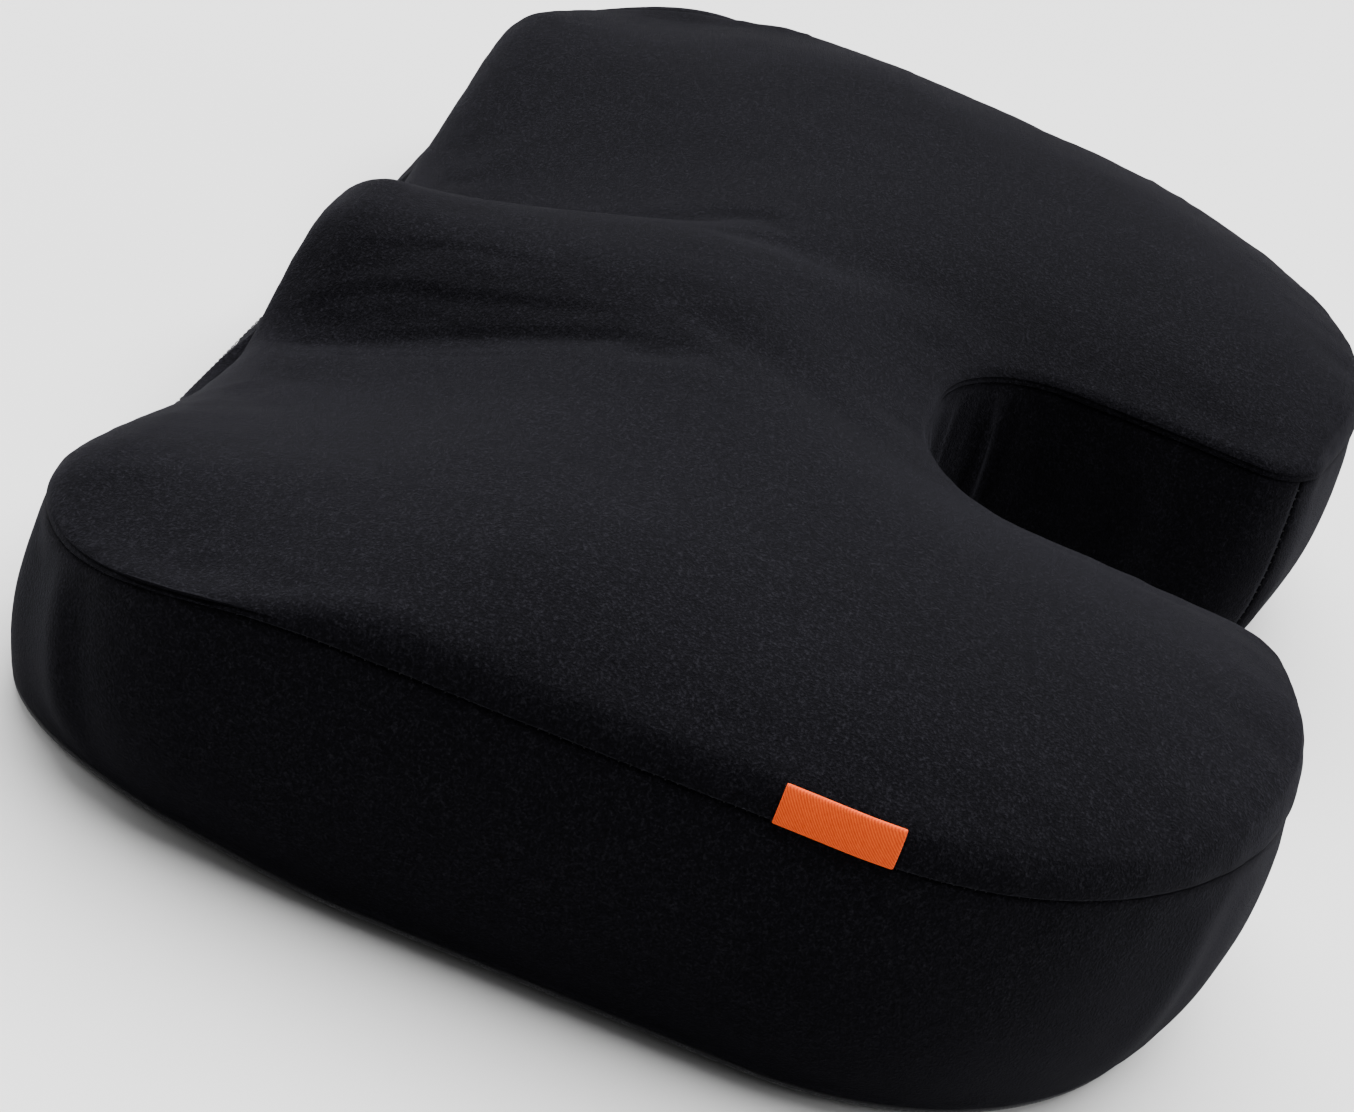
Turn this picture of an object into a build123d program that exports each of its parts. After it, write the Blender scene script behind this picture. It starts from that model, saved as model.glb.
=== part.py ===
from build123d import *
import math
import os

# Contoured seat cushion with a cut-out for the tailbone. The person sits facing -Y.
# Origin: bottom centre of the whole cushion. -Y is the front, +Z up. Right is +X and left
# is -X, as seen by someone who faces the front.

# ---- Driving dimensions, in millimetres ----
# The side and back walls are straight lines, rounded into each other by these radii.
front_width = 455.5         # between the corners of the front wall; 450 across once rounded
back_width = 421.5          # between the corners that the back lobes are rounded from
corner_depth = 337.0        # front wall to those corners
height = 95.0               # floor to the seat plateau, Z
front_corner_radius = 60.0
lobe_radius = 105.0

cutout_width = 90.0         # at its mouth
cutout_end_width = 82.0     # at its closed end
cutout_depth = 107.0        # closed end to the mouth corners
mouth_depth = 299.0         # front wall to the mouth corners
cutout_end_radius = 34.0
mouth_radius = 20.0

front_droop = 20.0          # the plateau falls this much at the front edge
droop_reach = 145.0
trough_depth = 27.0         # thigh trough, below the drooped front edge
trough_reach = 215.0        # trough runs out this far from the front
trough_centre = 70.0        # from the middle of the cushion
trough_floor = 8.0          # flat width of the trough
trough_inner_wall = 66.0    # pommel side
trough_outer_wall = 114.0   # rim side

rim_roll = 18.0             # radius that the top panel rolls down to its seam
bottom_roll = 6.0
cover = 1.8                 # cover fabric with its backing
ease = 1.0                  # slack between cover and liner
liner = 0.8
thread = 0.6

zip_height = 20.0           # middle of the zip above the floor
zip_gap = 10.0              # between the edges of the two front bands
tape_width = 8.0
tape_thickness = 0.7
coil_width = 3.0            # one half of the chain
coil_thickness = 1.5
stop_length = 3.0

slider_length = 10.0
slider_width = 8.4
plate_thickness = 1.0
flange = 0.8
slider_gap = 0.3            # running gap round the chain
crown_length = 5.6
crown_width = 2.4
crown_wall = 0.8
crown_room = 1.8            # under the crown, for the tab's bar

tab_length = 24.0
tab_width = 5.6
tab_thickness = 1.1
tab_bar_radius = 0.55
tab_arm = 1.0
tab_window = 3.8            # bar to the solid part of the tab

label_width = 28.0          # along the seam
label_height = 15.0         # over the rolled rim
label_thickness = 0.9       # folded double
label_gap = 0.5             # above the cover
label_from_front = 207.0

# ---- Worked out from them ----
top_seam = rim_roll + 1.5           # seam below the contoured top
bottom_seam = bottom_roll + 1.0     # seam above the floor
front_panel_half = front_width / 2 - front_corner_radius - 4.0
mouth_panel_half = cutout_width / 2 + 9.0
chain_half = front_panel_half - 8.0
crown_proud = plate_thickness + crown_room + crown_wall


def plan_shape():
    """Outline of the cushion seen from above, placed so that the crown and lobes are centred."""
    right = [
        (front_width / 2, 0, front_corner_radius),
        (back_width / 2, corner_depth, lobe_radius),
        (cutout_width / 2, mouth_depth, mouth_radius),
        (cutout_end_width / 2, mouth_depth - cutout_depth, cutout_end_radius),
    ]
    left = [(-x, y, radius) for x, y, radius in reversed(right)]
    corners = right + left
    line = FilletPolyline(
        *[(x, y) for x, y, radius in corners],
        radius=[radius for x, y, radius in corners],
        close=True,
    )
    shape = make_face(line)
    limits = shape.bounding_box()
    return Pos(0, -(limits.max.Y + limits.min.Y - crown_proud) / 2) * shape


plan = plan_shape()
front = plan.bounding_box().min.Y
depth = plan.bounding_box().max.Y - front + crown_proud


def fade(distance, reach):
    """1 at no distance, easing to 0 at reach."""
    return 0.5 + 0.5 * math.cos(math.pi * min(abs(distance) / reach, 1.0))


def trough(x):
    """Share of the trough's depth at x."""
    outward = abs(x) - trough_centre
    beyond_floor = max(abs(outward) - trough_floor / 2, 0.0)
    wall = trough_outer_wall if outward > 0 else trough_inner_wall
    return fade(beyond_floor, wall)


def seat_height(x, y):
    """Height of the contoured top, before its rim is rolled."""
    from_front = max(y - front, 0.0)
    droop = front_droop * fade(from_front, droop_reach)
    hollow = trough_depth * trough(x) * fade(from_front, trough_reach)
    return height - droop - hollow


def under_top(drop):
    """Everything under the contoured top, with the top lowered by drop."""
    columns, rows, margin = 45, 30, 20.0
    sheet_width = front_width + 2 * margin
    sheet_depth = depth + 2 * margin
    points = []
    for i in range(columns + 1):
        x = -sheet_width / 2 + sheet_width * i / columns
        ys = [-sheet_depth / 2 + sheet_depth * j / rows for j in range(rows + 1)]
        points.append([(x, y, seat_height(x, y) - drop) for y in ys])
    sheet = Face.make_surface_from_array_of_points(points, tol=0.1)
    return Solid.extrude(sheet, Vector(0, 0, -2 * height))


def cushion_body(inset):
    """The cushion's whole shape, moved in by inset on every side."""
    shape = offset(plan, amount=-inset) if inset else plan
    block = extrude(Pos(0, 0, inset) * shape, height + rim_roll) & under_top(inset)
    flat_edges = block.edges().filter_by(lambda edge: abs(edge.tangent_at(0.5).Z) < 0.9)
    rim = flat_edges.filter_by(lambda edge: edge.center().Z > height / 4)
    foot = flat_edges.filter_by(lambda edge: edge.center().Z < height / 4)
    rolled = fillet(rim, rim_roll - inset)
    foot = rolled.edges().filter_by(lambda edge: edge.center().Z < inset + 0.01)
    return fillet(foot, bottom_roll - inset)


def span(x, y, z):
    """Box between the low and high values given for each axis."""
    size = (x[1] - x[0], y[1] - y[0], z[1] - z[0])
    middle = ((x[0] + x[1]) / 2, (y[0] + y[1]) / 2, (z[0] + z[1]) / 2)
    return Pos(*middle) * Box(*size)


# ---- Foam, liner and cover ----
outer = cushion_body(0)
inside_cover = cushion_body(cover)
inside_thread = cushion_body(thread)
around_liner = cushion_body(cover + ease)
foam_core = cushion_body(cover + ease + liner)
inner_liner = around_liner - foam_core

everywhere = (-front_width, front_width)
shell = outer - inside_cover
skin = outer - inside_thread
below_top_seam = under_top(top_seam)
above_thread = under_top(top_seam + thread)

top_panel = shell - below_top_seam
bottom_panel = shell & span(everywhere, everywhere, (-1, bottom_seam))
band = (shell & below_top_seam) - span(everywhere, everywhere, (-1, bottom_seam))

top_seam_thread = (skin & below_top_seam) - above_thread
bottom_thread_box = span(everywhere, everywhere, (bottom_seam, bottom_seam + thread))
bottom_seam_thread = skin & bottom_thread_box

seam_half = thread / 2
panel_seams = Part()
for side in (-1, 1):
    for seam_x, reach in (
        (front_panel_half, (-depth, 0)),
        (mouth_panel_half, (0, depth)),
    ):
        at = side * seam_x
        panel_seams += span((at - seam_half, at + seam_half), reach, (0, 2 * height))
panel_seam_threads = (skin & band & panel_seams) - top_seam_thread - bottom_seam_thread

zip_row = zip_gap / 2 + 2.0
zip_seam_threads = Part()
for side in (-1, 1):
    row_z = zip_height + side * zip_row
    zip_seam_threads += span(
        (-front_panel_half + 2, front_panel_half - 2),
        (front, front + thread),
        (row_z - seam_half, row_z + seam_half),
    )

sewn_band = band - top_seam_thread - bottom_seam_thread - panel_seam_threads
cutout_box = span((-mouth_panel_half, mouth_panel_half), (0, depth), (-1, 2 * height))
front_panel_x = (-front_panel_half, front_panel_half)
front_panel_y = (front - 1, front + cover + 0.5)
front_box = span(front_panel_x, front_panel_y, (-1, 2 * height))
zip_slot = span(
    everywhere, everywhere, (zip_height - zip_gap / 2, zip_height + zip_gap / 2)
)
above_zip = span(everywhere, everywhere, (zip_height, 2 * height))
below_zip = span(everywhere, everywhere, (-1, zip_height))
right_half = span((0, front_width), everywhere, (-1, 2 * height))

cutout_band = sewn_band & cutout_box
front_band = (sewn_band & front_box) - zip_slot - zip_seam_threads
front_band_upper = front_band & above_zip
front_band_lower = front_band & below_zip
side_bands = sewn_band - cutout_box - front_box
side_band_right = side_bands & right_half
side_band_left = side_bands - right_half

# ---- Zip chain along the front, low down ----
tape_front = front + cover
coil_front = tape_front - coil_thickness


def zip_strip(ends, y, above):
    """Bar along the zip, over the stated heights above and below its middle."""
    return span(ends, y, (zip_height + above[0], zip_height + above[1]))


tape_x = (-front_panel_half, front_panel_half)
tape_y = (tape_front, tape_front + tape_thickness)
zip_tape_upper = zip_strip(tape_x, tape_y, (0.2, tape_width))
zip_tape_lower = zip_strip(tape_x, tape_y, (-tape_width, -0.2))

coil_x = (-chain_half, chain_half)
coil_y = (coil_front, tape_front)
zip_coil_upper = zip_strip(coil_x, coil_y, (0, coil_width))
zip_coil_lower = zip_strip(coil_x, coil_y, (-coil_width, 0))

top_stop_x = (chain_half, chain_half + stop_length)
bottom_stop_x = (-chain_half - stop_length, -chain_half)
zip_top_stops = zip_strip(top_stop_x, coil_y, (0.4, coil_width))
zip_top_stops += zip_strip(top_stop_x, coil_y, (-coil_width, -0.4))
zip_bottom_stop = zip_strip(bottom_stop_x, coil_y, (-coil_width, coil_width))

# ---- Slider: outer plate, two flanges beside the chain and a crown for the tab ----
slider_x = chain_half - slider_length / 2 - 1.0
plate_face = front - plate_thickness
plate = Pos(slider_x, front - plate_thickness / 2, zip_height) * Rot(90, 0, 0) * extrude(
    RectangleRounded(slider_length, slider_width, 2.5), plate_thickness / 2, both=True
)
zip_slider = plate
flange_x = (slider_x - slider_length / 2 + 2.5, slider_x + slider_length / 2 - 2.5)
flange_y = (front - plate_thickness / 2, tape_front - slider_gap)
for side in (-1, 1):
    edge = side * slider_width / 2
    limits = sorted((edge, edge - side * flange))
    zip_slider += zip_strip(flange_x, flange_y, limits)
crown_x = (slider_x - crown_length / 2, slider_x + crown_length / 2)
crown_z = (-crown_width / 2, crown_width / 2)
crown = zip_strip(crown_x, (front - crown_proud, plate_face + 0.1), crown_z)
crown = fillet(crown.edges().filter_by(Axis.Z).group_by(Axis.Y)[0], 0.7)
room_x = (crown_x[0] + crown_wall, crown_x[1] - crown_wall)
room = zip_strip(room_x, (plate_face - crown_room, plate_face), crown_z)
zip_slider += crown - room

# ---- Pull tab: a bar under the crown, two arms and a flat tongue with a hole ----
pivot_y = plate_face - crown_room / 2
pivot = Pos(slider_x, pivot_y, zip_height)
bar = pivot * Cylinder(tab_bar_radius, tab_width)
tab_y = (pivot_y - tab_thickness / 2, pivot_y + tab_thickness / 2)
arms = Part()
for side in (-1, 1):
    edge = side * tab_width / 2
    limits = sorted((edge, edge - side * tab_arm))
    arms += zip_strip((slider_x - tab_window - 0.5, slider_x), tab_y, limits)
tongue_length = tab_length - tab_window
tongue_x = slider_x - tab_window - tongue_length / 2
tongue_shape = RectangleRounded(tongue_length, tab_width, 1.2)
tongue_shape -= Pos(-tongue_length / 2 + 3.5, 0) * Circle(1.3)
tongue = Pos(tongue_x, pivot_y, zip_height) * Rot(90, 0, 0) * extrude(
    tongue_shape, tab_thickness / 2, both=True
)
zip_pull_tab = bar + arms + tongue

# ---- Woven label, folded double and sewn into the top seam on the right ----
label_y = front + label_from_front
side_slope = math.atan2((front_width - back_width) / 2, corner_depth)
wall_x = front_width / 2 - label_from_front * math.tan(side_slope)
roll_z = height - rim_roll
inner_radius = rim_roll + label_gap
label_turn = math.degrees(label_height / rim_roll)
ring = Circle(inner_radius + label_thickness) - Circle(inner_radius)
wedge_reach = 3 * rim_roll
wedge = make_face(
    Polyline(
        (0, 0),
        (wedge_reach, 0),
        (wedge_reach, wedge_reach * math.tan(math.radians(label_turn))),
        close=True,
    )
)
label_section = Plane.XZ * (ring & wedge)
label_bar = extrude(label_section, label_width / 2, both=True)
label_place = Pos(wall_x - rim_roll, label_y, roll_z) * Rot(0, 0, math.degrees(side_slope))
woven_label = label_place * label_bar

nodes = {
    "foam_core": foam_core,
    "inner_liner": inner_liner,
    "top_panel": top_panel,
    "bottom_panel": bottom_panel,
    "side_band_right": side_band_right,
    "side_band_left": side_band_left,
    "cutout_band": cutout_band,
    "front_band_upper": front_band_upper,
    "front_band_lower": front_band_lower,
    "top_seam_thread": top_seam_thread,
    "bottom_seam_thread": bottom_seam_thread,
    "panel_seam_threads": panel_seam_threads,
    "zip_seam_threads": zip_seam_threads,
    "zip_tape_upper": zip_tape_upper,
    "zip_tape_lower": zip_tape_lower,
    "zip_coil_upper": zip_coil_upper,
    "zip_coil_lower": zip_coil_lower,
    "zip_top_stops": zip_top_stops,
    "zip_bottom_stop": zip_bottom_stop,
    "zip_slider": zip_slider,
    "zip_pull_tab": zip_pull_tab,
    "woven_label": woven_label,
}

os.makedirs("parts", exist_ok=True)
for name, shape in nodes.items():
    export_step(shape, f"parts/{name}.step")

print("front wall", front, "depth", depth)
print("pull tab pivot", slider_x, pivot_y, zip_height)
print("label hinge", wall_x + label_gap, label_y, roll_z, "side slope", math.degrees(side_slope))
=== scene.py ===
import random
from math import cos, pi, radians, sin, tan

import bpy
import numpy as np
from mathutils import Matrix, Vector, geometry, kdtree, noise
from numpy.linalg import norm


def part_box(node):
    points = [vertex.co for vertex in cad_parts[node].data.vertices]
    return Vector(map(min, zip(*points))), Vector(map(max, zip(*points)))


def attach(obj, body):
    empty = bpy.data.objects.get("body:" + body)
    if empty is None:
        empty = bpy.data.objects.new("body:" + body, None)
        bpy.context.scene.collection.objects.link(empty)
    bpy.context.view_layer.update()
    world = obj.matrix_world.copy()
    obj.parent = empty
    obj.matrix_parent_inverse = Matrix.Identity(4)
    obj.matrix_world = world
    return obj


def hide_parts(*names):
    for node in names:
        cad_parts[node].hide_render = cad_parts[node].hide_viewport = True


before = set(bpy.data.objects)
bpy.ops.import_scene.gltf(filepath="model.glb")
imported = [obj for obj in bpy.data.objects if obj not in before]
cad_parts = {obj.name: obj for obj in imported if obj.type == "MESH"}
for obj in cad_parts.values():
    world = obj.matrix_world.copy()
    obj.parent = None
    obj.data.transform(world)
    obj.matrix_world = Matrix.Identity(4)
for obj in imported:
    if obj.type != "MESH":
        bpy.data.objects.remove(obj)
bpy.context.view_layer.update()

random.seed(7)

# ---- sizes, in metres
MM = 0.001
top_low, top_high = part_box("top_panel")
upper_low, upper_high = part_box("front_band_upper")
label_low, label_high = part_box("woven_label")

front_wall = top_low.y
plateau = top_high.z
front_panel_half = upper_high.x
mouth_panel_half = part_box("cutout_band")[1].x
zip_high = upper_low.z  # the zip shows between the two front bands
zip_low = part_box("front_band_lower")[1].z

# Corners of the plan's right half, from the front into the cut-out, in mm: x, y from the
# front wall, and the radius that the corner is rounded to.
HALF_PLAN = (
    (227.75, 0.0, 60.0),
    (210.0, 336.0, 107.0),
    (45.0, 299.0, 24.0),
    (41.0, 192.0, 34.0),
)
CORNER_STEPS = 48
OUTLINE_STEP = 2.4 * MM
SEAM_INSET = 3 * MM  # the seams lie this far inside the cushion's widest line
FRONT_HOLLOW = 3 * MM  # the top seam bows inward along the front
HOLLOW_HALF = 190 * MM  # half the length of that bow
FRONT_Y = -100 * MM  # outline points with a lower y belong to the front wall

# The seat falls to the front, where two troughs leave a ridge between them.
FRONT_DROOP = 24 * MM
DROOP_REACH = 145 * MM
TROUGH_DEPTH = 29 * MM
TROUGH_REACH = 185 * MM
TROUGH_CENTRE = 54 * MM
TROUGH_FLOOR = 4 * MM
TROUGH_INNER_WALL = 51 * MM
TROUGH_OUTER_WALL = 136 * MM
RIDGE_SQUARENESS = 1.5  # above 1, the centre ridge is flatter on top and steeper below
LOBE_SQUARENESS = 0.9  # the same for the outer lobes
DISH = 1 * MM  # each side of the seat is dished, with its centre and reach in x and y
DISH_CENTRE = (95 * MM, 45 * MM)
DISH_REACH = (90 * MM, 110 * MM)
CORNER_X = 218 * MM  # centre of the front corners
CORNER_Y = front_wall + 40 * MM
CORNER_DIP = 6 * MM  # the seat falls this much more at its front corners
DIP_REACH = 105 * MM

SIDE_SEAM = 74 * MM  # height of the top seam along the sides and back
FRONT_SEAM_DROP = 12.5 * MM  # top seam below the contoured front edge
SEAM_CLIMB_START = 8 * MM  # behind the front wall, the seam climbs to the sides from here
SEAM_CLIMB = 80 * MM
SEAM_WANDER = 0.7 * MM
WANDERS = 14  # scale of the noise that the seam wanders by
TIGHT_DROP = 9.5 * MM  # drop of the tight rim along the sides and back
TIGHT_WIDTH = 6 * MM
TIGHTENING = 134 * MM  # the rim tightens over this distance from the front wall
FRONT_ROLL = 8 * MM  # extra width of the rounder rim along the front
CROWN_REACH = 46 * MM  # the seat crowns up over this distance from its rim
CUTOUT_DROP = 3 * MM  # round the cut-out the rim is tighter still
CUTOUT_REACH = 78 * MM
CUTOUT_SIDE = 95 * MM  # the cut-out's rim ends this far from the middle
CUTOUT_FADE = 50 * MM
BOTTOM_SEAM = 4.4 * MM
FOOT_ROLL = 6 * MM
FLOOR_GAP = 0.6 * MM  # underside of the fabric, which stands on its grip dots

BAND_BULGE = 4.4 * MM
BULGE_LOWNESS = 1.4  # above 1, the bands bulge most below their middle
FRONT_BULGE = -2.5 * MM  # added to the bulge along the front
FOOT_TUCK = 4.2 * MM  # except along the front, the bands' foot is cut back this much
FRONT_FOOT = 0.5 * MM  # the front stands out at its foot
BACK_TUCK = 1 * MM  # the back lobes' foot is cut back this much more
BACK_LOBE = 60 * MM  # the back lobes begin this far from the middle
CORNER_TUCK = 9 * MM  # the front corners' foot is cut back this much more
CORNER_REACH = 72 * MM

# The bands lie flat beside the zip, up to this far inside its ends and from its middle, and
# leave it over the distance that follows.
ZIP_END, ZIP_END_FADE = 4 * MM, 14 * MM
ZIP_HALF, ZIP_FADE = 6 * MM, 12 * MM

CLOTH = 1.4 * MM
GROOVE = 1 * MM  # depth of the seams
ALLOWANCE = 4.5 * MM  # depth of the turned-in edges behind the seams
TURN = GROOVE + 0.8 * MM
LIP = 0.35 * MM  # the cloth's edge starts to turn in this deep
# Turned edges at a seam, from top to bottom for the bands and from the hidden end outward for
# the panels: depth behind the seam, and height above it.
TOP_TURN = ((ALLOWANCE, -MM), (TURN, -0.1 * MM), (GROOVE, 0.0), (LIP, 0.55 * MM))
BAND_TURN = ((ALLOWANCE, -MM), (TURN, 0.1 * MM), (GROOVE, 0.0))
BAND_FOOT = ((GROOVE, 0.12 * MM), (TURN, 0.05 * MM), (ALLOWANCE, MM))
BOTTOM_TURN = ((ALLOWANCE, MM), (TURN, -0.05 * MM), (GROOVE, -0.12 * MM))


# ---- plan outline
def rounded(corners):
    """Closed line through the corners, each rounded to its radius."""
    line = []
    for i, (x, y, radius) in enumerate(corners):
        corner = Vector((x, y))
        before = (Vector(corners[i - 1][:2]) - corner).normalized()
        after = (Vector(corners[(i + 1) % len(corners)][:2]) - corner).normalized()
        half = before.angle(after) / 2
        centre = corner + (before + after).normalized() * radius / sin(half)
        start = corner + before * radius / tan(half) - centre
        end = corner + after * radius / tan(half) - centre
        turn = start.angle_signed(end)
        for k in range(CORNER_STEPS + 1):
            line.append(centre + Matrix.Rotation(-turn * k / CORNER_STEPS, 2) @ start)
    return np.array([tuple(p) for p in line])


def resampled(line, step):
    """The closed line at even spacing, starting at the front centre."""
    closed = np.vstack([line, line[:1]])
    lengths = np.r_[0, np.cumsum(norm(np.diff(closed, axis=0), axis=1))]
    at = np.linspace(0, lengths[-1], int(lengths[-1] / step), endpoint=False)
    even = np.c_[np.interp(at, lengths, closed[:, 0]), np.interp(at, lengths, closed[:, 1])]
    behind = (even[:, 0] < 0) | (even[:, 1] > 0)
    first = np.argmin(even[:, 0] + behind)
    return np.roll(even, -first, axis=0)


def outward(line):
    """Unit normals of an anticlockwise closed line."""
    along = np.roll(line, -1, 0) - np.roll(line, 1, 0)
    along /= norm(along, axis=1)[:, None]
    return np.c_[along[:, 1], -along[:, 0]]


def smoothed(values, passes):
    for _ in range(passes):
        values = (np.roll(values, 1, 0) + 2 * values + np.roll(values, -1, 0)) / 4
    return values


right_corners = [(x * MM, front_wall + y * MM, radius * MM) for x, y, radius in HALF_PLAN]
left_corners = [(-x, y, radius) for x, y, radius in reversed(right_corners)]
wall_line = resampled(rounded(right_corners + left_corners), OUTLINE_STEP)
wall_normals = smoothed(outward(wall_line), 3)
wall_normals /= norm(wall_normals, axis=1)[:, None]
at_front_edge = np.clip(-wall_normals[:, 1], 0, 1) ** 2 * (wall_line[:, 1] < 0)
hollow = FRONT_HOLLOW * np.clip(1 - (wall_line[:, 0] / HOLLOW_HALF) ** 2, 0, 1) * at_front_edge
wall_gap = SEAM_INSET + hollow
seam_line = wall_line - wall_normals * wall_gap[:, None]
seam_x, seam_y = seam_line.T
count = len(seam_line)
everywhere = np.arange(count)
perimeter = norm(np.roll(seam_line, -1, 0) - seam_line, axis=1).sum()


# ---- heights
def fade(distance, reach):
    """1 at no distance, easing to 0 at reach."""
    return 0.5 + 0.5 * np.cos(np.pi * np.clip(np.abs(distance) / reach, 0, 1))


def ease(t):
    """0 to 1 with level ends."""
    t = np.clip(t, 0, 1)
    return t * t * (3 - 2 * t)


def mixed(share, a, b):
    """a where share is 1, b where it is 0."""
    return share * a + (1 - share) * b


def near_corner(x, y, reach):
    """1 at the front corners, easing to 0 at reach."""
    return fade(np.hypot(np.abs(x) - CORNER_X, y - CORNER_Y), reach)


def contour(x, y):
    """Height of the seat before its rim is rolled."""
    away = np.maximum(y - front_wall, 0)
    beyond = np.abs(x) - TROUGH_CENTRE
    wall = np.where(beyond > 0, TROUGH_OUTER_WALL, TROUGH_INNER_WALL)
    trough = fade(np.maximum(np.abs(beyond) - TROUGH_FLOOR / 2, 0), wall)
    trough = trough ** np.where(beyond > 0, LOBE_SQUARENESS, RIDGE_SQUARENESS)
    droop = FRONT_DROOP * fade(away, DROOP_REACH)
    hollow = TROUGH_DEPTH * trough * fade(away, TROUGH_REACH)
    seat = fade(np.abs(x) - DISH_CENTRE[0], DISH_REACH[0])
    seat = seat * fade(y - DISH_CENTRE[1], DISH_REACH[1])
    dip = CORNER_DIP * near_corner(x, y, DIP_REACH)
    return plateau - droop - hollow - dip - DISH * seat


side_share = ease((seam_y - front_wall - SEAM_CLIMB_START) / SEAM_CLIMB)
tight_share = ease((seam_y - front_wall) / TIGHTENING)
cutout_share = ease((CUTOUT_SIDE - np.abs(seam_x)) / CUTOUT_FADE) * (seam_y > 0)
edge_height = contour(seam_x, seam_y)
corner_dip = CORNER_DIP * near_corner(seam_x, seam_y, DIP_REACH)
front_seam = edge_height + corner_dip - FRONT_SEAM_DROP
wander = [noise.noise(Vector((x * WANDERS, y * WANDERS, 5.0))) for x, y in seam_line]
seam_z = smoothed(mixed(side_share, SIDE_SEAM, front_seam), 6) + np.array(wander) * SEAM_WANDER
whole_drop = edge_height - seam_z
tight_drop = mixed(cutout_share, CUTOUT_DROP, TIGHT_DROP)
crown_reach = mixed(cutout_share, CUTOUT_REACH, CROWN_REACH)
roll_drop = np.minimum(mixed(tight_share, tight_drop, whole_drop), whole_drop)
crown_drop = whole_drop - roll_drop
roll_reach = TIGHT_WIDTH + (1 - tight_share) * FRONT_ROLL


def crown_at(inward, i=slice(None)):
    """How far the crowned seat lies below the contour at a distance inside the rim."""
    return crown_drop[i] * np.maximum(1 - inward / crown_reach[i], 0) ** 2


def rolled_height(flat, inward, i, crown):
    """Height of plan points that lie inward of the outline points i."""
    rise = np.sqrt(np.clip(1 - (1 - np.clip(inward / roll_reach[i], 0, 1)) ** 2, 0, 1))
    return contour(flat[:, 0], flat[:, 1]) - roll_drop[i] * (1 - rise) - crown


def beside_zip(x, z):
    """1 beside the zip, where the bands lie flat against the front wall."""
    along = fade(np.maximum(np.abs(x) - front_panel_half + ZIP_END, 0), ZIP_END_FADE)
    middle = (zip_high + zip_low) / 2
    return along * fade(np.maximum(np.abs(z - middle) - ZIP_HALF, 0), ZIP_FADE)


def band_offset(i, z):
    """How far the band stands outside the seam line at outline points i and heights z."""
    x, y, toward_back = seam_x[i], seam_y[i], wall_normals[i, 1]
    share = np.clip((seam_z[i] - z) / (seam_z[i] - BOTTOM_SEAM), 0, 1)
    at_front = np.clip(-toward_back, 0, 1) ** 2 * (y < 0)
    at_back = np.clip(toward_back, 0, 1) ** 2 * (np.abs(x) > BACK_LOBE)
    low = share ** BULGE_LOWNESS
    bulge = (BAND_BULGE + FRONT_BULGE * at_front) * 4 * low * (1 - low)
    tuck = FOOT_TUCK * (1 - at_front) - FRONT_FOOT * at_front + BACK_TUCK * at_back
    tuck = (tuck + CORNER_TUCK * near_corner(x, y, CORNER_REACH)) * share ** 2
    return mixed(beside_zip(x, z) * (y < FRONT_Y), wall_gap[i], bulge - tuck)


foot_offset = band_offset(everywhere, np.full(count, BOTTOM_SEAM))


def around(offset, z, columns=everywhere):
    """Points outside the seam line by an offset, at heights z, one at each outline column."""
    flat = seam_line[columns] + wall_normals[columns] * np.c_[np.broadcast_to(offset, len(columns))]
    return np.c_[flat, np.broadcast_to(z, len(columns))]


# ---- mesh helpers
def placed(name, data):
    made = bpy.data.objects.new(name, data)
    bpy.context.scene.collection.objects.link(made)
    return made


def new_object(name, vertices, faces, smooth=True):
    mesh = bpy.data.meshes.new(name)
    mesh.from_pydata([tuple(v) for v in vertices], [], faces)
    mesh.validate()
    if smooth:
        mesh.polygons.foreach_set("use_smooth", [True] * len(mesh.polygons))
    return placed(name, mesh)


def strip_faces(rings, columns, closed):
    """Quads between rings of columns points each, numbered ring by ring."""
    faces = []
    for a in range(0, (rings - 1) * columns, columns):
        for c in range(columns if closed else columns - 1):
            d = (c + 1) % columns
            faces.append((a + c, a + d, a + columns + d, a + columns + c))
    return faces


def closed_strip(rings, sides):
    """Faces of a tube of rings with flat ends."""
    ends = [tuple(range(sides - 1, -1, -1)), tuple(range((rings - 1) * sides, rings * sides))]
    return strip_faces(rings, sides, True) + ends


def solidify(piece, thickness, offset=-1.0):
    shell = piece.modifiers.new("cloth_thickness", "SOLIDIFY")
    shell.thickness = thickness
    shell.offset = offset


TUBE_UP = Vector((0.13, 0.2, 1)).normalized()  # no tube runs along this direction


def tube(path, radius, sides=8):
    """Vertices and faces of a round tube along a path."""
    path = [Vector(p) for p in path]
    vertices = []
    for i, p in enumerate(path):
        along = (path[min(i + 1, len(path) - 1)] - path[max(i - 1, 0)]).normalized()
        side = along.cross(TUBE_UP).normalized()
        across = side.cross(along).normalized()
        for k in range(sides):
            angle = 2 * pi * k / sides
            vertices.append(p + radius * (cos(angle) * side + sin(angle) * across))
    return vertices, closed_strip(len(path), sides)


def merged(parts):
    """One list of vertices and faces out of several."""
    vertices, faces = [], []
    for more_vertices, more_faces in parts:
        first = len(vertices)
        vertices.extend(more_vertices)
        faces.extend(tuple(first + k for k in face) for face in more_faces)
    return vertices, faces


def tree_of(points):
    tree = kdtree.KDTree(len(points))
    for i, p in enumerate(points):
        tree.insert(p, i)
    tree.balance()
    return tree


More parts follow.
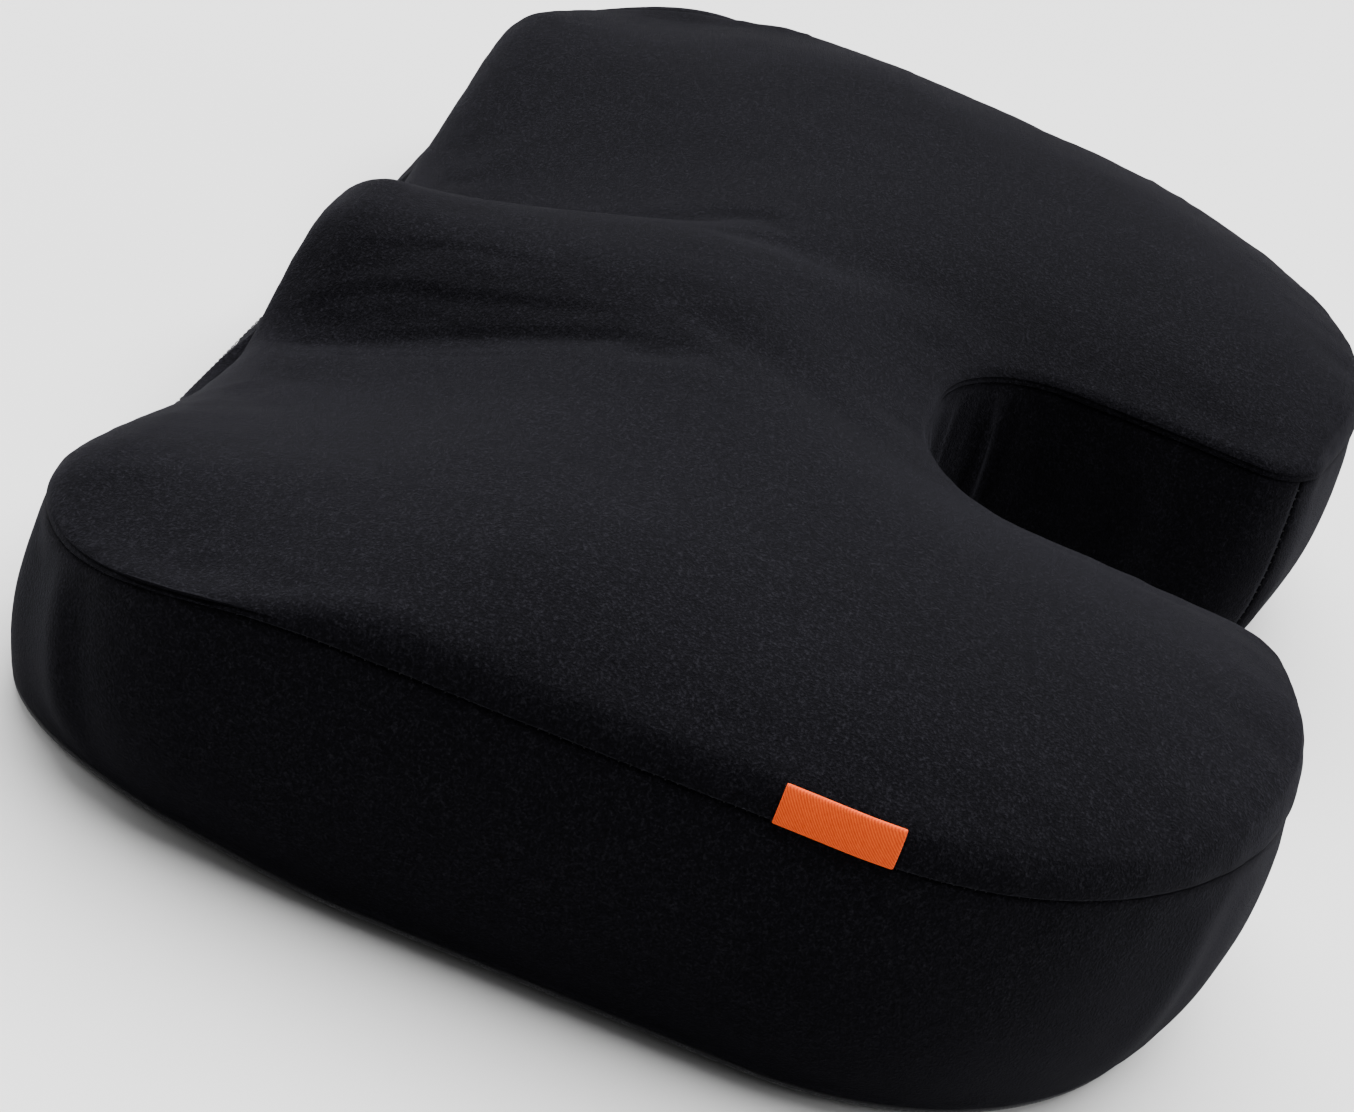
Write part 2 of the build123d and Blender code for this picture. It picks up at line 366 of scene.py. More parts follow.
# ---- cover surfaces
ROLL_ANGLES = [radians(a) for a in (3, 7, 12, 18, 25, 32, 39, 46, 53, 60)]
FOOT_ANGLES = [radians(a) for a in (5, 12, 22, 34, 46, 58, 70, 82, 90)]
INNER_SPACING = 4.2 * MM
TRIANGLE_ROWS = 0.866  # distance between the rows of a triangular grid, for a spacing of 1
CREASED_DEPTH = 135 * MM  # the spacing is halved this far from the front, for the creases
SEAM_TREE = tree_of([(x, y, 0) for x, y in seam_line])


def roll_ring(angle):
    """The rolled rim at an angle above the seam, from 0 upright to a right angle flat."""
    inward = roll_reach * (1 - cos(angle))
    drop = roll_drop * (1 - sin(angle))
    ring = around(-inward, -drop - crown_at(inward))
    ring[:, 2] += contour(ring[:, 0], ring[:, 1])
    return ring


def foot_ring(angle):
    """The bottom panel's rolled edge: upright at the seam at 0, flat at a right angle."""
    inward = FOOT_ROLL * (1 - cos(angle))
    drop = (BOTTOM_SEAM - FLOOR_GAP) * sin(angle)
    return around(foot_offset - inward, BOTTOM_SEAM - drop)


def distances_to_seam(points):
    """Distances of plan points from the seam line, nearest outline points, which are inside."""
    found = [SEAM_TREE.find((x, y, 0)) for x, y in points]
    nearest = np.array([f[1] for f in found])
    inside = ((points - seam_line[nearest]) * -wall_normals[nearest]).sum(1) > 0
    return np.array([f[2] for f in found]), nearest, inside


def staggered(low, high, pitch):
    """Plan points of a triangular grid, whose pitch is a function of y."""
    points = []
    row = 0
    y = low[1]
    while y < high[1]:
        step = pitch(y)
        points += [(x, y) for x in np.arange(low[0] + (row % 2) * step / 2, high[0], step)]
        y += step * TRIANGLE_ROWS
        row += 1
    return np.array(points)


def inner_pitch(y):
    return INNER_SPACING / 2 if y < front_wall + CREASED_DEPTH else INNER_SPACING


def inner_points(ring):
    """Even points inside a ring of the cushion, clear of its rolled rim."""
    points = staggered(ring.min(0), ring.max(0), inner_pitch)
    distance, nearest, inside = distances_to_seam(points)
    ring_depth = roll_reach[nearest] * (1 - cos(ROLL_ANGLES[-1]))
    return points[(distance > ring_depth + 0.7 * INNER_SPACING) & inside]


def filled(ring, inner):
    """Plan points and triangles that fill a ring of the cushion, with the ring's points first."""
    points = [Vector(p) for p in np.vstack([ring, inner])]
    edges = [(i, (i + 1) % count) for i in range(count)]
    made = geometry.delaunay_2d_cdt(points, edges, [list(range(count))], 2, 1e-7)
    return np.array([tuple(p) for p in made[0]]), made[2]


def blended(values, faces, held, passes=60):
    """Values smoothed over a mesh, with the first ones held."""
    edges = {tuple(sorted((face[k - 1], face[k]))) for face in faces for k in range(len(face))}
    a, b = np.array(sorted(edges)).T
    ends = np.bincount(np.r_[a, b], minlength=len(values))
    for _ in range(passes):
        sums = np.bincount(a, values[b], len(values)) + np.bincount(b, values[a], len(values))
        values = np.r_[values[:held], (sums / np.maximum(ends, 1))[held:]]
    return values


def top_cap():
    """Vertices and faces of the seat inside its rolled rim, with the rim's last ring first."""
    ring = roll_ring(ROLL_ANGLES[-1])[:, :2]
    flat, faces = filled(ring, inner_points(ring))
    distance, nearest, _ = distances_to_seam(flat)
    crown = blended(crown_at(distance, nearest), faces, count)
    return np.c_[flat, rolled_height(flat, distance, nearest, crown)], faces


def bottom_cap():
    """The same for the flat underside, inside its rolled edge."""
    ring = foot_ring(FOOT_ANGLES[-1])[:, :2]
    flat, faces = filled(ring, inner_points(ring)[::2])
    return np.c_[flat, np.full(len(flat), FLOOR_GAP)], [face[::-1] for face in faces]


TOP_CAP = top_cap()
BOTTOM_CAP = bottom_cap()


def capped(vertices, faces, cap, ring):
    """The mesh with a cap whose first points are the ring that starts at a vertex."""
    points, cap_faces = cap
    shift = len(vertices) - count
    cap_faces = [tuple(k + (ring if k < count else shift) for k in face) for face in cap_faces]
    return np.vstack([vertices, points[count:]]), faces + cap_faces


def top_surface():
    rings = [around(-inset, seam_z + lift) for inset, lift in TOP_TURN]
    rings += [roll_ring(angle) for angle in ROLL_ANGLES]
    faces = strip_faces(len(rings), count, True)
    return capped(np.vstack(rings), faces, TOP_CAP, (len(rings) - 1) * count)


def bottom_surface():
    rings = [around(foot_offset - inset, BOTTOM_SEAM + lift) for inset, lift in BOTTOM_TURN]
    rings += [foot_ring(angle) for angle in FOOT_ANGLES]
    faces = [face[::-1] for face in strip_faces(len(rings), count, True)]
    return capped(np.vstack(rings), faces, BOTTOM_CAP, (len(rings) - 1) * count)


def band_rows(columns, heights, top_turn, bottom_turn):
    """Rows of band points at the outline columns and at each of the heights, top to bottom."""
    rows = []
    if top_turn:
        rows += [around(-inset, seam_z[columns] + lift, columns) for inset, lift in BAND_TURN]
    for z in heights:
        edge = LIP if top_turn and z is heights[0] else 0.0
        rows.append(around(band_offset(columns, z) - edge, z, columns))
    if bottom_turn:
        foot = foot_offset[columns]
        rows += [around(foot - inset, BOTTOM_SEAM + lift, columns) for inset, lift in BAND_FOOT]
    return rows


# ---- padding by cloth simulation
PADDING_VOXEL = 6 * MM
PADDING_PRESSURE = 4.0
PADDING_FRAMES = 20
PADDING_CAP = 3 * MM
HELD_REACH = 5 * MM  # the cloth gets free over this distance from its seams
NEIGHBOURS = 6  # cloth points that a surface point follows
NEIGHBOUR_SOFTENING = 2 * MM
BODY_ROWS = 12


def closed_body():
    """The whole cushion as one closed form without seams: vertices, faces."""
    rows = [roll_ring(angle) for angle in reversed(ROLL_ANGLES)] + [around(0.0, seam_z)]
    for t in np.linspace(0, 1, BODY_ROWS)[1:]:
        z = mixed(t, BOTTOM_SEAM, seam_z)
        rows.append(around(band_offset(everywhere, z), z))
    rows += [foot_ring(radians(a)) for a in (30, 60, 90)]
    faces = [face[::-1] for face in strip_faces(len(rows), count, True)]
    body = capped(np.vstack(rows), faces, TOP_CAP, 0)
    return capped(*body, BOTTOM_CAP, (len(rows) - 1) * count)


WHOLE_BODY = closed_body()


def depsgraph():
    bpy.context.view_layer.update()
    return bpy.context.evaluated_depsgraph_get()


def padded_field():
    """Where a cloth under gentle pressure, held at its seams, moves the cushion's surface."""
    body = new_object("padding_body", *WHOLE_BODY)
    remesh = body.modifiers.new("remesh", "REMESH")
    remesh.mode = "VOXEL"
    remesh.voxel_size = PADDING_VOXEL
    body.data = bpy.data.meshes.new_from_object(body.evaluated_get(depsgraph()))
    body.modifiers.clear()
    rest = np.array([tuple(v.co) for v in body.data.vertices])

    seams = tree_of(np.vstack([around(0.0, seam_z), around(foot_offset, BOTTOM_SEAM)]))
    held = body.vertex_groups.new(name="held")
    for i, p in enumerate(rest):
        weight = 1.0 if p[2] < BOTTOM_SEAM else max(0.0, 1 - seams.find(p)[2] / HELD_REACH)
        held.add([i], weight, "REPLACE")

    cloth = body.modifiers.new("cloth", "CLOTH")
    for key, value in dict(
        quality=6, mass=0.2, tension_stiffness=25, compression_stiffness=25,
        shear_stiffness=8, bending_stiffness=0.6, use_pressure=True,
        uniform_pressure_force=PADDING_PRESSURE, vertex_group_mass="held",
    ).items():
        setattr(cloth.settings, key, value)
    cloth.settings.effector_weights.gravity = 0
    cloth.point_cache.frame_start = 1
    cloth.point_cache.frame_end = PADDING_FRAMES
    for step in range(1, PADDING_FRAMES + 1):
        bpy.context.scene.frame_set(step)
    moved = body.evaluated_get(depsgraph()).to_mesh()
    shift = np.array([tuple(v.co) for v in moved.vertices]) - rest
    bpy.context.scene.frame_set(1)
    bpy.data.objects.remove(body)

    size = norm(shift, axis=1)
    shift *= (PADDING_CAP * np.tanh(size / PADDING_CAP) / np.maximum(size, 1e-9))[:, None]
    tree = tree_of(rest)

    def field(points):
        moves = np.zeros((len(points), 3))
        for i, p in enumerate(points):
            near = tree.find_n(p, NEIGHBOURS)
            weights = np.array([1 / (f[2] + NEIGHBOUR_SOFTENING) ** 2 for f in near])
            moves[i] = (shift[[f[1] for f in near]] * weights[:, None]).sum(0) / weights.sum()
        return moves

    print("padding moves up to", round(size.max() / MM, 2), "mm before the cap")
    return field


swell = padded_field()


# ---- small unevenness of the cloth
WAVES = ((9.0, (0, 0, 0), 1.1), (24.0, (3, 7, 1), 0.45), (70.0, (11, 2, 5), 0.12))
FREE_REACH = 13 * MM  # full unevenness starts this far from the seams
GATHER = 0.35 * MM  # height of the puckers beside the seams
GATHERS = 150.0
GATHER_PEAK = 3.5 * MM
GATHER_REACH = 15 * MM
FOLD_DEPTH = 20 * MM  # a fold fades over this distance from its band
FURROW = 0.6  # height of the swelling beside a crease, against its depth
CREASE_STEPS = 8

# Creases of the ridge's near flank, in mm: their line in x and y from the front wall, their
# width and their depth.
POMMEL_CREASES = (
    (((42, 12), (33, 34), (33, 60), (35, 101)), 1.7, 0.75),
    (((51, 14), (45, 45), (43, 72), (45, 122)), 1.9, 0.6),
    (((24, 20), (19, 48), (21, 84)), 1.7, 0.45),
    (((58, 20), (55, 52), (56, 96)), 2.0, 0.4),
)


def vertex_normals(vertices, faces):
    normals = np.zeros_like(vertices)
    for face in faces:
        a, b, c = (vertices[k] for k in face[:3])
        normals[list(face)] += np.cross(b - a, c - a)
    return normals / np.maximum(norm(normals, axis=1), 1e-12)[:, None]


def unevenness(point):
    """Soft hand-made waves of the cover at three scales, in metres."""
    p = Vector(point)
    return sum(noise.noise(p * scale + Vector(shift)) * size for scale, shift, size in WAVES) * MM


def crease(points, path, width, depth):
    """Depth of a pinched crease along a path of plan points, at each point."""
    nearest = np.full(len(points), np.inf)
    place = np.zeros(len(points))
    done = 0.0
    for start, end in zip(path, path[1:]):
        along, away = end - start, points - start
        length = norm(along)
        t = np.clip(away @ along / length ** 2, 0, 1)
        side = np.sign(along[0] * away[:, 1] - along[1] * away[:, 0])
        distance = side * norm(away - t[:, None] * along, axis=1)
        nearer = np.abs(distance) < np.abs(nearest)
        nearest = np.where(nearer, distance, nearest)
        place = np.where(nearer, done + t * length, place)
        done += length
    across = nearest / width
    pinch = np.exp(-across ** 2) - FURROW * np.exp(-(across - 1.3) ** 2)
    ends = np.sin(np.pi * np.clip(place / done, 0, 1)) ** 0.5
    return depth * ends * pinch * (np.abs(across) < 3)


def smooth_path(points):
    """Catmull-Rom line through given points."""
    points = [points[0], *points, points[-1]]
    line = []
    for p0, p1, p2, p3 in zip(points, points[1:], points[2:], points[3:]):
        for t in np.arange(CREASE_STEPS) / CREASE_STEPS:
            square = (2 * p0 - 5 * p1 + 4 * p2 - p3) * t ** 2
            cube = (3 * p1 - p0 - 3 * p2 + p3) * t ** 3
            line.append(0.5 * (2 * p1 + (p2 - p0) * t + square + cube))
    return line + points[-1:]


def panel_ends():
    """Outline points of the panel seams: front right, mouth right, mouth left, front left."""
    front, back = seam_y < 0, seam_y > 0
    return (
        everywhere[front & (seam_x > 0) & (seam_x <= front_panel_half)].max(),
        everywhere[back & (seam_x > mouth_panel_half)].max(),
        everywhere[back & (seam_x < -mouth_panel_half)].min(),
        everywhere[front & (seam_x < 0) & (seam_x >= -front_panel_half)].min(),
    )


def sewn_points():
    """Points of every sewn line of the cover: top, foot, panel and zip seams."""
    lines = [around(band_offset(everywhere, seam_z), seam_z), around(foot_offset, BOTTOM_SEAM)]
    for column in panel_ends():
        z = np.arange(BOTTOM_SEAM, seam_z[column], 2 * MM)
        i = np.full(len(z), column)
        lines.append(around(band_offset(i, z), z, i))
    x = np.arange(-front_panel_half, front_panel_half, 2 * MM)
    for z in (zip_high, zip_low):
        lines.append(np.c_[x, np.full(len(x), front_wall), np.full(len(x), z)])
    return np.vstack(lines)


SEWN = tree_of(sewn_points())


def along_outline(i):
    """Direction of the seam line at an outline point."""
    along = seam_line[(i + 1) % count] - seam_line[i - 1]
    return along / norm(along)


def finished(vertices, faces, creases=(), folds=()):
    """The surface with its padding, unevenness, puckers, creases and folds.

    The seams themselves stay on their lines, so that neighbouring panels meet."""
    normals = vertex_normals(vertices, faces)
    distance = np.array([SEWN.find(p)[2] for p in vertices])
    free = ease(distance / FREE_REACH)
    height = np.array([unevenness(p) for p in vertices]) * free
    near = distance / GATHER_PEAK
    gather = np.array([noise.noise(Vector(p) * GATHERS + Vector((1, 9, 4))) for p in vertices])
    height += GATHER * gather * near * np.exp(1 - near) * (distance < GATHER_REACH)
    for path, width, depth in creases:
        line = smooth_path([np.array((x * MM, front_wall + y * MM)) for x, y in path])
        height -= crease(vertices[:, :2], line, width * MM, depth * MM)
    for fold in folds:
        height += free * band_fold(vertices, *(size * MM for size in fold))
    return vertices + swell(vertices) * free[:, None] + normals * height[:, None]


def band_fold(vertices, x, y, lean, width, depth):
    """A soft upright fold of a band at a plan point, leaning along the outline going down."""
    i = int(np.argmin(np.hypot(seam_x - x, seam_y - y)))
    offset = vertices[:, :2] - seam_line[i]
    down = np.clip(1 - (vertices[:, 2] - BOTTOM_SEAM) / (seam_z[i] - BOTTOM_SEAM), 0, 1)
    across = (offset @ along_outline(i) - lean * (down - 0.3)) / width
    here = np.exp(-((offset @ wall_normals[i]) / FOLD_DEPTH) ** 2)
    ridge = np.exp(-across ** 2) - 0.7 * np.exp(-(across - 1.5) ** 2)
    return depth * here * ridge * np.sin(np.pi * np.clip(down * 0.9 + 0.1, 0, 1)) ** 0.7


# ---- materials
class Nodes:
    """A new material and a short way to build its node tree."""

    def __init__(self, name):
        self.made = bpy.data.materials.new(name)
        self.made.use_nodes = True
        self.tree = self.made.node_tree
        self.shader = self.tree.nodes["Principled BSDF"]
        self.place = self.add("ShaderNodeTexCoord").outputs["Object"]

    def add(self, kind, **values):
        node = self.tree.nodes.new(kind)
        for key, value in values.items():
            if hasattr(node, key):
                setattr(node, key, value)
            else:
                node.inputs[key].default_value = value
        return node

    def feed(self, socket, value):
        """Sets the socket to a number, or links an output to it."""
        if isinstance(value, (int, float)):
            socket.default_value = value
        else:
            self.tree.links.new(value, socket)

    def spread(self, output, kind, place=None, **values):
        """Output of a new node that takes its vector from a place on the piece."""
        node = self.add(kind, **values)
        self.feed(node.inputs["Vector"], place or self.place)
        return node.outputs[output]

    def noise(self, scale, detail=2.0, roughness=0.5, place=None):
        values = {"Scale": scale, "Detail": detail, "Roughness": roughness}
        return self.spread("Fac", "ShaderNodeTexNoise", place, **values)

    def wave(self, scale, direction, distortion=0.0):
        values = {"Scale": scale, "Distortion": distortion, "bands_direction": direction}
        return self.spread("Fac", "ShaderNodeTexWave", **values)

    def math(self, operation, a, b):
        node = self.add("ShaderNodeMath", operation=operation)
        self.feed(node.inputs[0], a)
        self.feed(node.inputs[1], b)
        return node.outputs[0]

    def weighted(self, a, weight_a, b, weight_b):
        """Sum of two outputs, each times its weight."""
        a = self.math("MULTIPLY", a, weight_a)
        return self.math("ADD", a, self.math("MULTIPLY", b, weight_b))

    def ramp(self, factor, *stops):
        """Colours between stops; each stop is a position and a colour or grey level."""
        node = self.add("ShaderNodeValToRGB")
        ramp = node.color_ramp
        while len(ramp.elements) < len(stops):
            ramp.elements.new(0.5)
        for element, (position, colour) in zip(ramp.elements, stops):
            element.position = position
            element.color = (*(colour if isinstance(colour, tuple) else 3 * (colour,)), 1)
        self.feed(node.inputs["Fac"], factor)
        return node.outputs["Color"]

    def multiplied(self, a, b):
        node = self.add("ShaderNodeMix", data_type="RGBA", blend_type="MULTIPLY")
        for socket, value in zip((0, 6, 7), (1.0, a, b)):
            self.feed(node.inputs[socket], value)
        return node.outputs[2]

    def bump(self, height, distance, strength, under=None):
        node = self.add("ShaderNodeBump", Distance=distance, Strength=strength)
        self.feed(node.inputs["Height"], height)
        if under:
            self.feed(node.inputs["Normal"], under)
        return node.outputs["Normal"]

    def finish(self, colour, roughness, normal=None, **constants):
        """Feeds the shader and returns the material; constants are named like sockets."""
        inputs = self.shader.inputs
        for key, value in constants.items():
            inputs[key].default_value = value
        self.feed(inputs["Base Color"], colour)
        self.feed(inputs["Roughness"], roughness)
        if normal:
            self.feed(inputs["Normal"], normal)
        return self.made


def velour():
    """Black short-pile velour: speckled fibre tips, brushed nap and a soft sheen."""
    n = Nodes("cover_velour")
    tips = n.noise(1500.0, 3.0, 0.7)
    clumps = n.noise(750.0, 3.0, 0.6)
    stretched = n.spread("Vector", "ShaderNodeMapping", Scale=(1.0, 0.35, 1.0))
    nap = n.noise(38.0, 4.0, 0.6, stretched)
    pile = n.weighted(tips, 0.6, clumps, 0.4)
    shade = n.weighted(nap, 0.6, n.noise(9.0), 0.4)
    fibre = n.ramp(pile, (0.32, (0.0008, 0.0008, 0.0011)), (0.52, (0.0022, 0.0021, 0.0029)),
                   (0.72, (0.0085, 0.0083, 0.0105)))
    brushed = n.ramp(shade, (0.35, 0.8), (0.65, 1.0))
    rough = n.math("ADD", 0.86, n.math("MULTIPLY", clumps, 0.12))
    normal = n.bump(pile, 0.7 * MM, 0.85, n.bump(nap, 0.8 * MM, 0.35))
    return n.finish(n.multiplied(fibre, brushed), rough, normal, **{
        "Specular IOR Level": 0.02, "Sheen Weight": 0.024, "Sheen Roughness": 0.4,
        "Sheen Tint": (0.7, 0.7, 0.86, 1)})


def woven(name, dark, light, pitch):
    """Plain weave of round yarns, pitch metres apart."""
    n = Nodes(name)
    scale = 2 * pi / pitch / 20  # its bands are 2 pi / 20 apart at scale 1
    warp, weft, rise = (n.wave(scale, axis) for axis in "XYZ")
    weave = n.math("MAXIMUM", n.math("MULTIPLY", warp, weft), n.math("MULTIPLY", rise, 0.6))
    height = n.math("ADD", weave, n.math("MULTIPLY", n.noise(900.0), 0.4))
    colour = n.ramp(height, (0.2, dark), (1.0, light))
    return n.finish(colour, 0.85, n.bump(height, 0.25 * MM, 0.8), **{
        "Specular IOR Level": 0.2, "Sheen Weight": 0.1, "Sheen Roughness": 0.4})


def foam():
    """Cream memory foam with open cells."""
    n = Nodes("memory_foam")
    pores = n.spread("Distance", "ShaderNodeTexVoronoi", Scale=900.0)
    tint = n.ramp(n.noise(14.0, 3.0), (0.3, (0.72, 0.68, 0.56)), (0.7, (0.82, 0.79, 0.7)))
    colour = n.multiplied(tint, n.ramp(pores, (0.1, 0.72), (0.4, 1.0)))
    return n.finish(colour, 0.9, n.bump(pores, 0.5 * MM, 0.7), **{"Specular IOR Level": 0.15})


def enamel():
    """Black enamelled zinc with faint casting unevenness and rubbed edges."""
    n = Nodes("zip_metal")
    grain = n.noise(700.0, 3.0)
    rubbed = n.noise(180.0, 4.0, 0.65)
    colour = n.ramp(rubbed, (0.45, (0.018, 0.018, 0.02)), (0.72, (0.06, 0.06, 0.064)))
    rough = n.math("ADD", 0.28, n.math("MULTIPLY", rubbed, 0.2))
    return n.finish(colour, rough, n.bump(grain, 0.08 * MM, 0.5), **{
        "Metallic": 0.35, "Coat Weight": 0.4, "Coat Roughness": 0.25})


def coil():
    """Black polyester filament of the zip's coils."""
    n = Nodes("zip_coil")
    colour = n.ramp(n.noise(60.0), (0.3, (0.011, 0.011, 0.012)), (0.7, (0.022, 0.022, 0.024)))
    return n.finish(colour, 0.42, n.bump(n.noise(2500.0), 0.05 * MM, 0.4), **{
        "Specular IOR Level": 0.45})


def thread():
    """Black polyester thread with its twist."""
    n = Nodes("sewing_thread")
    twist = n.wave(700.0, "DIAGONAL", 0.4)
    colour = n.ramp(twist, (0.2, (0.0015, 0.0015, 0.0018)), (0.9, (0.006, 0.006, 0.007)))
    return n.finish(colour, 0.6, n.bump(twist, 0.08 * MM, 0.7), **{
        "Sheen Weight": 0.02, "Specular IOR Level": 0.08})


def label():
    """Orange satin ribbon: fine slanting twill over cross ribs."""
    n = Nodes("label_weave")
    weave = n.weighted(n.wave(900.0, "DIAGONAL"), 0.5, n.wave(1100.0, "Y"), 0.3)
    height = n.math("ADD", weave, n.math("MULTIPLY", n.noise(1400.0, 3.0), 0.5))
    colour = n.ramp(height, (0.2, (0.32, 0.02, 0.0)), (0.6, (0.46, 0.042, 0.0005)),
                    (1.0, (0.6, 0.075, 0.002)))
    return n.finish(colour, 0.75, n.bump(height, 0.1 * MM, 0.5), **{
        "Sheen Weight": 0.02, "Sheen Roughness": 0.4, "Specular IOR Level": 0.1})


def rubber():
    """Soft black rubber of the grip dots."""
    n = Nodes("grip_dots")
    colour = n.ramp(n.noise(220.0, 3.0), (0.35, 0.012), (0.75, (0.028, 0.028, 0.029)))
    return n.finish(colour, 0.5, n.bump(n.noise(1200.0), 0.06 * MM, 0.5), **{
        "Specular IOR Level": 0.4})


VELOUR = velour()
GRIP_FABRIC = woven("grip_fabric", (0.008, 0.008, 0.009), (0.03, 0.03, 0.033), 0.9 * MM)
LINER_KNIT = woven("liner_knit", 0.5, (0.8, 0.8, 0.79), 0.7 * MM)
ZIP_TAPE = woven("zip_tape", (0.004, 0.004, 0.005), (0.014, 0.014, 0.015), 0.6 * MM)
FOAM = foam()
ENAMEL = enamel()
COIL = coil()
THREAD = thread()
LABEL = label()
DOTS = rubber()


def dress(piece, made, node=None, body="cushion"):
    """Material, slot, body and the CAD node that a piece stands for."""
    piece.data.materials.append(made)
    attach(piece, body)
    if node:
        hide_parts(node)


# ---- cover pieces
SIDE_ROWS = 26
SEAM_EDGE = 0.6 * MM  # the bands' outer cloth ends this far from the top and bottom seams
BOTTOM_CLOTH = 0.9 * MM

# Folds of the bands, in mm: plan point, lean of the fold, its width and its depth.
CUTOUT_FOLDS = (
    (-32, 53, 5, 2.6, 3.2),
    (-20, 42, -7, 3.0, 2.0),
    (-3, 38, 6, 3.4, 1.8),
    (22, 46, -6, 4.0, 1.6),
    (-43, 100, 4, 7.0, 0.9),
    (43, 90, -4, 7.0, 0.9),
)
RIGHT_FOLDS = (
    (205, -125, 14, 6.0, 1.3),
    (188, -143, 10, 8.0, 0.9),
    (170, 148, -12, 9.0, 1.0),
    (120, 152, 8, 9.0, 0.8),
)
LEFT_FOLDS = tuple((-x, y, -lean, width, depth) for x, y, lean, width, depth in RIGHT_FOLDS)


def make_top_panel():
    vertices, faces = top_surface()
    piece = new_object("top_panel_velour", finished(vertices, faces, POMMEL_CREASES), faces)
    solidify(piece, CLOTH)
    dress(piece, VELOUR, "top_panel")


def make_bottom_panel():
    piece = new_object("bottom_panel_fabric", *bottom_surface())
    solidify(piece, BOTTOM_CLOTH)
    dress(piece, GRIP_FABRIC, "bottom_panel")


def with_turned_ends(grid, columns):
    """The band's grid with its two ends turned in at the panel seams."""
    ends = []
    for k, sign in ((0, 1), (-1, -1)):
        along = np.r_[along_outline(columns[k]), 0] * sign
        inward = -np.r_[wall_normals[columns[k]], 0]
        edge = grid[:, k] + along * 0.5 * MM
        grid[:, k] = edge + inward * LIP
        ends.append([edge + inward * GROOVE - along * 0.3 * MM, edge + inward * ALLOWANCE])
    left, right = ends
    return np.concatenate([np.stack(left[::-1], 1), grid, np.stack(right, 1)], axis=1)


def make_band(node, columns, top, bottom, rows, top_turn=True, bottom_turn=True, folds=()):
    """A sewn band from top to bottom, which are heights at every outline point."""
    heights = [mixed(t, bottom[columns], top[columns]) for t in np.linspace(0, 1, rows)]
    rings = band_rows(columns, heights, top_turn, bottom_turn)
    grid = with_turned_ends(np.stack(rings), columns)
    faces = [face[::-1] for face in strip_faces(len(rings), grid.shape[1], False)]
    vertices = finished(grid.reshape(-1, 3), faces, folds=folds)
    piece = new_object(node + "_velour", vertices, faces)
    solidify(piece, CLOTH)
    dress(piece, VELOUR, node)


def make_bands():
    """The bands between the two panels, split at the four panel seams and at the zip."""
    front_right, mouth_right, mouth_left, front_left = panel_ends()
    top, foot = seam_z - SEAM_EDGE, np.full(count, BOTTOM_SEAM + SEAM_EDGE)
    for node, start, end, folds in (
        ("side_band_right", front_right, mouth_right, RIGHT_FOLDS),
        ("side_band_left", mouth_left, front_left, LEFT_FOLDS),
        ("cutout_band", mouth_right, mouth_left, CUTOUT_FOLDS),
    ):
        make_band(node, np.arange(start, end + 1), top, foot, SIDE_ROWS, folds=folds)
    front = np.r_[front_left:count, 0:front_right + 1]
    above_zip, below_zip = np.full(count, zip_high), np.full(count, zip_low)
    make_band("front_band_upper", front, top, above_zip, 14, bottom_turn=False)
    make_band("front_band_lower", front, below_zip, foot, 6, top_turn=False)


make_top_panel()
make_bottom_panel()
make_bands()


# ---- foam and liner
LINER_INSET = 5.2 * MM
LINER_CLOTH = 0.6 * MM
FOAM_INSET = 6 * MM


def make_filling(name, inset, made, node, thickness=None):
    vertices, faces = WHOLE_BODY
    vertices = vertices + swell(vertices) - vertex_normals(vertices, faces) * inset
    piece = new_object(name, vertices, faces)
    if thickness:
        solidify(piece, thickness)
    dress(piece, made, node)


make_filling("memory_foam_block", FOAM_INSET, FOAM, "foam_core")
make_filling("foam_liner_sleeve", LINER_INSET, LINER_KNIT, "inner_liner", LINER_CLOTH)


# ---- thread
STITCH = 2.7 * MM
STITCH_HALF = 0.62 * MM  # half a stitch's length across its seam
STITCH_RISE = 0.28 * MM
STITCH_ARC = ((0, 0), (0.25, 0.8), (0.5, 1), (0.75, 0.8), (1, 0))
THREAD_RADIUS = 0.17 * MM
LOOP_DEPTH, PANEL_DEPTH = 1 * MM, 0.85 * MM  # the stitches lie this deep in their grooves
ZIP_STITCH, ZIP_STITCH_PITCH = 2.2 * MM, 3 * MM
ZIP_MARGIN = 3 * MM  # from the zip rows to the bands' edges


def stitch(a, b, lift):
    """A short length of thread from a to b, raised by lift in the middle."""
    a, b, lift = Vector(a), Vector(b), Vector(lift)
    path = [a + (b - a) * t + lift * share for t, share in STITCH_ARC]
    return tube(path, THREAD_RADIUS, 6)


def on_outline(values, at):
    """Value at a fractional outline index."""
    i = int(at) % count
    t = at - int(at)
    return mixed(t, values[(i + 1) % count], values[i])


def seam_ladder(height, offset):
    """Stitches that cross the groove of a seam running round the cushion."""
    parts = []
    number = int(perimeter / STITCH)
    for k in range(number):
        at = (k * count / number + random.uniform(-0.05, 0.05)) % count
        normal = np.r_[on_outline(wall_normals, at), 0]
        normal /= norm(normal)
        base = np.r_[on_outline(seam_line, at), on_outline(height, at)]
        base = base + normal * (on_outline(offset, at) - LOOP_DEPTH)
        up = np.array((0, 0, STITCH_HALF))
        parts.append(stitch(base + up, base - up, normal * STITCH_RISE))
    return merged(parts)


